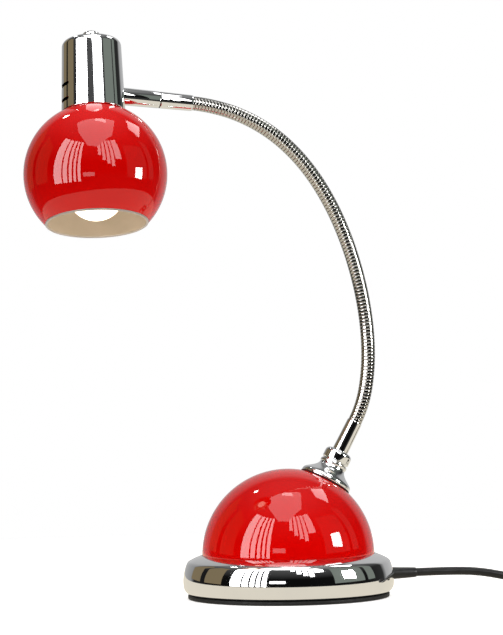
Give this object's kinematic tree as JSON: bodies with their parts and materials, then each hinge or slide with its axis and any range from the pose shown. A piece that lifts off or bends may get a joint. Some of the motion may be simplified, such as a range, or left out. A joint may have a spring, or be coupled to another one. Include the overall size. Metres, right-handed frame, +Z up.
{
  "type": "desk lamp",
  "caption": "Gooseneck desk lamp with a half-round weighted base, flexible chromed neck and a red ball shade under a chromed cup.",
  "frame": {"origin": "centre of the base's underside, on the table", "axes": "+Z up; the neck arches in the XZ plane towards -X, where the shade hangs; the cord leaves the base at +X; -Y is the front"},
  "size_m": [0.604, 0.1684, 0.4445],
  "materials": {
    "black_rubber": "matt moulded rubber",
    "chrome": "polished chromium plate on steel",
    "hose_chrome": "chromium-plated spiral-wound hose",
    "red_enamel": "glossy red stove enamel on spun steel",
    "cast_iron": "rough grey casting",
    "zinc_steel": "zinc-plated steel",
    "brass": "turned brass",
    "cream_plastic": "cream phenolic moulding",
    "bulb_cap_metal": "thin rolled sheet",
    "frosted_glass": "opal frosted glass",
    "wire_brown": "brown insulated wire",
    "cord_black": "black PVC-sheathed round cord",
    "black_plastic": "fine-textured black moulding",
    "rocker_plastic": "smooth black moulding",
    "pin_nickel": "nickel-plated brass"
  },
  "bodies": {
    "base": {"foot_pad": "black_rubber", "base_ring": "chrome", "base_plate": "zinc_steel", "ballast": "cast_iron", "base_cover": "red_enamel", "clamp_ring": "zinc_steel", "base_screws": "zinc_steel", "cord_boot": "black_rubber", "cord_inner": "cord_black", "terminal_block": "cream_plastic", "base_wires": "wire_brown", "flange_gasket": "black_rubber", "neck_flange": "chrome", "neck_nipple": "brass", "flange_washer": "zinc_steel", "flange_nut": "zinc_steel", "neck_collar": "chrome", "lower_ferrule": "chrome", "cord_lead": "cord_black", "cord_link": "cord_black", "cord_coil": "cord_black", "cord_tail": "cord_black", "switch_lower": "black_plastic", "switch_upper": "black_plastic", "rocker_pin": "zinc_steel", "plug_body": "black_plastic", "plug_pins": "pin_nickel"},
    "link_01": {"neck_link_01": "hose_chrome"},
    "link_02": {"neck_link_02": "hose_chrome"},
    "link_03": {"neck_link_03": "hose_chrome"},
    "link_04": {"neck_link_04": "hose_chrome"},
    "link_05": {"neck_link_05": "hose_chrome"},
    "link_06": {"neck_link_06": "hose_chrome"},
    "link_07": {"neck_link_07": "hose_chrome"},
    "link_08": {"neck_link_08": "hose_chrome"},
    "link_09": {"neck_link_09": "hose_chrome"},
    "link_10": {"neck_link_10": "hose_chrome"},
    "link_11": {"neck_link_11": "hose_chrome"},
    "link_12": {"neck_link_12": "hose_chrome"},
    "neck_end": {"upper_ferrule": "chrome", "swivel_nipple": "brass", "swivel_nut": "zinc_steel", "swivel_washer": "black_rubber"},
    "head": {"arm_tube": "chrome", "swivel_bush": "brass", "arm_nipple": "brass", "arm_nut": "zinc_steel", "socket_cup": "chrome", "holder_stud": "brass", "stud_nut": "zinc_steel", "cup_finial": "chrome", "holder_cap": "cream_plastic", "holder_body": "cream_plastic", "holder_contacts": "brass", "head_wires": "wire_brown", "shade": "red_enamel", "shade_ring": "cream_plastic", "bulb_cap": "bulb_cap_metal", "bulb_glass": "frosted_glass"},
    "rocker": {"switch_rocker": "rocker_plastic"}
  },
  "joints": [
    {"name": "neck_bend", "type": "hinge", "parent": "base", "child": "link_01", "pos_m": [0.05721, 0, 0.1362], "axis": [0, -1, 0], "range_deg": [-8, 6]},
    {"name": "neck_sway", "type": "hinge", "parent": "link_01", "child": "link_02", "pos_m": [0.0664, 0, 0.16147], "axis": [0.9816, 0, -0.1908], "range_deg": [-8, 8]},
    {"name": "neck_bend_2", "type": "hinge", "parent": "link_02", "child": "link_03", "pos_m": [0.06922, 0, 0.18829], "axis": [0, -1, 0], "range_deg": [-8, 6]},
    {"name": "neck_sway_2", "type": "hinge", "parent": "link_03", "child": "link_04", "pos_m": [0.06793, 0, 0.21524], "axis": [0.9936, 0, 0.1132], "range_deg": [-8, 8]},
    {"name": "neck_bend_3", "type": "hinge", "parent": "link_04", "child": "link_05", "pos_m": [0.06347, 0, 0.24186], "axis": [0, -1, 0], "range_deg": [-8, 6]},
    {"name": "neck_sway_3", "type": "hinge", "parent": "link_05", "child": "link_06", "pos_m": [0.05638, 0, 0.2679], "axis": [0.9511, 0, 0.309], "range_deg": [-8, 8]},
    {"name": "neck_bend_4", "type": "hinge", "parent": "link_06", "child": "link_07", "pos_m": [0.0467, 0, 0.29309], "axis": [0, -1, 0], "range_deg": [-8, 6]},
    {"name": "neck_sway_4", "type": "hinge", "parent": "link_07", "child": "link_08", "pos_m": [0.03424, 0, 0.31703], "axis": [0.8572, 0, 0.515], "range_deg": [-8, 8]},
    {"name": "neck_bend_5", "type": "hinge", "parent": "link_08", "child": "link_09", "pos_m": [0.01858, 0, 0.33898], "axis": [0, -1, 0], "range_deg": [-8, 6]},
    {"name": "neck_sway_5", "type": "hinge", "parent": "link_09", "child": "link_10", "pos_m": [-0.00065, 0, 0.35788], "axis": [0.6293, 0, 0.7771], "range_deg": [-8, 8]},
    {"name": "neck_bend_6", "type": "hinge", "parent": "link_10", "child": "link_11", "pos_m": [-0.02325, 0, 0.37256], "axis": [0, -1, 0], "range_deg": [-8, 6]},
    {"name": "neck_sway_6", "type": "hinge", "parent": "link_11", "child": "link_12", "pos_m": [-0.04841, 0, 0.38222], "axis": [0.2588, 0, 0.9659], "range_deg": [-8, 8]},
    {"name": "neck_bend_7", "type": "hinge", "parent": "link_12", "child": "neck_end", "pos_m": [-0.07497, 0, 0.3869], "axis": [0, -1, 0], "range_deg": [-8, 6]},
    {"name": "head_swivel", "type": "hinge", "parent": "neck_end", "child": "head", "pos_m": [-0.15267, 0, 0.3937], "axis": [-0.9962, 0, 0.0872], "range_deg": [-150, 150]},
    {"name": "switch_rock", "type": "hinge", "parent": "base", "child": "rocker", "pos_m": [0.274, -0.022, 0.0125], "axis": [0, 1, 0], "range_deg": [-14, 0]}
  ],
  "couplings": [
    {"joint": "neck_bend_2", "follows": "neck_bend", "ratio": 1},
    {"joint": "neck_sway_2", "follows": "neck_sway", "ratio": 1},
    {"joint": "neck_bend_3", "follows": "neck_bend", "ratio": 1},
    {"joint": "neck_sway_3", "follows": "neck_sway", "ratio": 1},
    {"joint": "neck_bend_4", "follows": "neck_bend", "ratio": 1},
    {"joint": "neck_sway_4", "follows": "neck_sway", "ratio": 1},
    {"joint": "neck_bend_5", "follows": "neck_bend", "ratio": 1},
    {"joint": "neck_sway_5", "follows": "neck_sway", "ratio": 1},
    {"joint": "neck_bend_6", "follows": "neck_bend", "ratio": 1},
    {"joint": "neck_sway_6", "follows": "neck_sway", "ratio": 1},
    {"joint": "neck_bend_7", "follows": "neck_bend", "ratio": 1}
  ]
}
